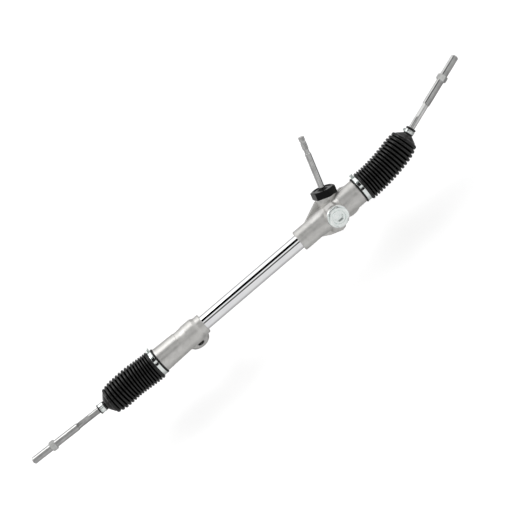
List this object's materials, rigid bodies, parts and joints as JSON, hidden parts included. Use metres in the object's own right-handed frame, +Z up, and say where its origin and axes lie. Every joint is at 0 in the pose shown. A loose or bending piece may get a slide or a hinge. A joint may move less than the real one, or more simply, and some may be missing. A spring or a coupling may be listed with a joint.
{
  "type": "steering rack",
  "caption": "Manual rack-and-pinion steering gear: cast end housings on a plated tube, bellows boots, threaded tie rods, a long serrated pinion shaft and two rear-facing mounting eyes.",
  "frame": {"origin": "midpoint between the two mounting bolts on the rear mounting face", "axes": "+X along the rack towards the pinion end, +Y towards the rear mounting face, +Z up"},
  "size_m": [1.1708, 0.1717, 0.1723],
  "materials": {
    "cast_aluminium": "satin, as cast with turned ends",
    "chrome_tube": "polished plating",
    "bright_steel": "machined and lightly oiled",
    "zinc_plate": "bright zinc",
    "black_paint": "gloss black",
    "boot_rubber": "satin black",
    "seal_rubber": "matt black",
    "bronze": "sintered bronze",
    "polymer": "natural acetal"
  },
  "bodies": {
    "housing": {"gear_housing": "cast_aluminium", "mount_housing": "cast_aluminium", "rack_tube": "chrome_tube", "rack_bush": "polymer", "pinion_bearing_outer": "bright_steel", "pinion_bearing_balls": "bright_steel", "pinion_plug": "black_paint", "pinion_seal": "seal_rubber", "pinion_lower_bush": "bronze", "rack_yoke": "cast_aluminium", "yoke_liner": "polymer", "yoke_o_ring": "seal_rubber", "yoke_spring": "bright_steel", "yoke_plug": "zinc_plate", "yoke_locknut": "zinc_plate", "left_mount_sleeve": "zinc_plate", "right_mount_sleeve": "zinc_plate", "left_boot": "boot_rubber", "left_boot_band": "zinc_plate", "right_boot": "boot_rubber", "right_boot_band": "zinc_plate"},
    "pinion": {"pinion_shaft": "bright_steel", "pinion_bearing_inner": "bright_steel", "pinion_circlip": "bright_steel"},
    "rack": {"rack_bar": "bright_steel", "left_ball_socket": "bright_steel", "right_ball_socket": "bright_steel"},
    "left_seat": {"left_ball_seat": "polymer"},
    "right_seat": {"right_ball_seat": "polymer"},
    "left_rod": {"left_tie_rod": "bright_steel", "left_jam_nut": "zinc_plate", "left_neck_clamp": "zinc_plate"},
    "right_rod": {"right_tie_rod": "bright_steel", "right_jam_nut": "zinc_plate", "right_neck_clamp": "zinc_plate"}
  },
  "joints": [
    {"name": "rack_slide", "type": "slide", "parent": "housing", "child": "rack", "axis": [1, 0, 0], "range_m": [-0.06, 0.06], "deforming": ["left_boot", "right_boot"]},
    {"name": "pinion_turn", "type": "hinge", "parent": "housing", "child": "pinion", "pos_m": [0.169, -0.02682, 0.02694], "axis": [0.284, 0.6416, 0.7125], "range_deg": [-620, 620]},
    {"name": "left_tie_rod_swing", "type": "hinge", "parent": "rack", "child": "left_seat", "pos_m": [-0.357, -0.038, 0.037], "axis": [0, 0, 1], "range_deg": [-21.9, 26.1]},
    {"name": "left_tie_rod_lift", "type": "hinge", "parent": "left_seat", "child": "left_rod", "pos_m": [-0.357, -0.038, 0.037], "axis": [0.037, 0.9993, 0], "range_deg": [-25.3, 22.7]},
    {"name": "right_tie_rod_swing", "type": "hinge", "parent": "rack", "child": "right_seat", "pos_m": [0.317, -0.038, 0.037], "axis": [0, 0, 1], "range_deg": [-39.6, 8.4]},
    {"name": "right_tie_rod_lift", "type": "hinge", "parent": "right_seat", "child": "right_rod", "pos_m": [0.317, -0.038, 0.037], "axis": [0.2686, -0.9633, 0], "range_deg": [-33.5, 14.5]}
  ],
  "couplings": [
    {"joint": "pinion_turn", "follows": "rack_slide", "rad_per_m": 178.57}
  ]
}
